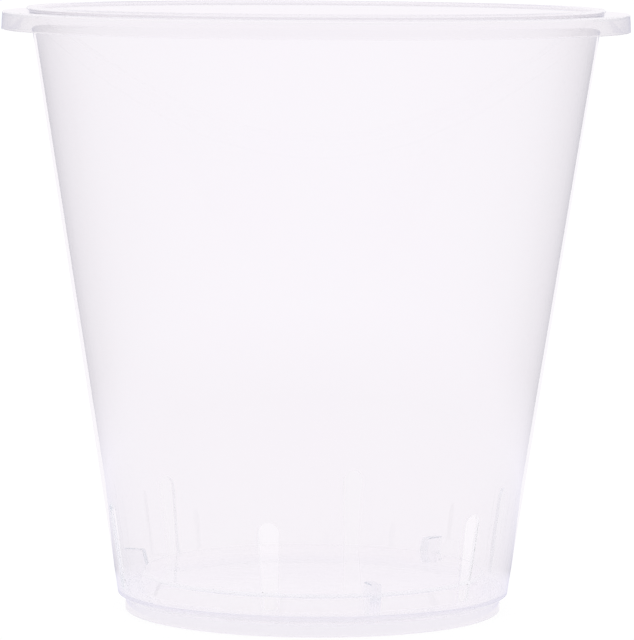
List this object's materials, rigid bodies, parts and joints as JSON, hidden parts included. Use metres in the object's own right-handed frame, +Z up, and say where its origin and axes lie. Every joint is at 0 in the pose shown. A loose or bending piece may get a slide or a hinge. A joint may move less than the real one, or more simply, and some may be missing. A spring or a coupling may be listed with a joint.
{
  "type": "orchid pot",
  "caption": "Clear tapered orchid pot with a turned-down rim, slots low in the wall for air and water, a raised floor with a gutter round it and a foot ring.",
  "frame": {"origin": "on the ground, at the middle of the foot ring", "axes": "+Z up along the pot's axis, the first slot faces -Y"},
  "size_m": [0.16, 0.16, 0.1544],
  "materials": {
    "clear_plastic": "clear moulded polypropylene, glossy, with a faint cool haze"
  },
  "bodies": {
    "root": {"foot_ring": "clear_plastic", "gutter_floor": "clear_plastic", "raised_floor": "clear_plastic", "stacking_rib_1": "clear_plastic", "stacking_rib_2": "clear_plastic", "stacking_rib_3": "clear_plastic", "slotted_wall": "clear_plastic", "upper_wall": "clear_plastic", "rim_flange": "clear_plastic", "rim_skirt": "clear_plastic", "rim_crest": "clear_plastic"}
  },
  "joints": []
}
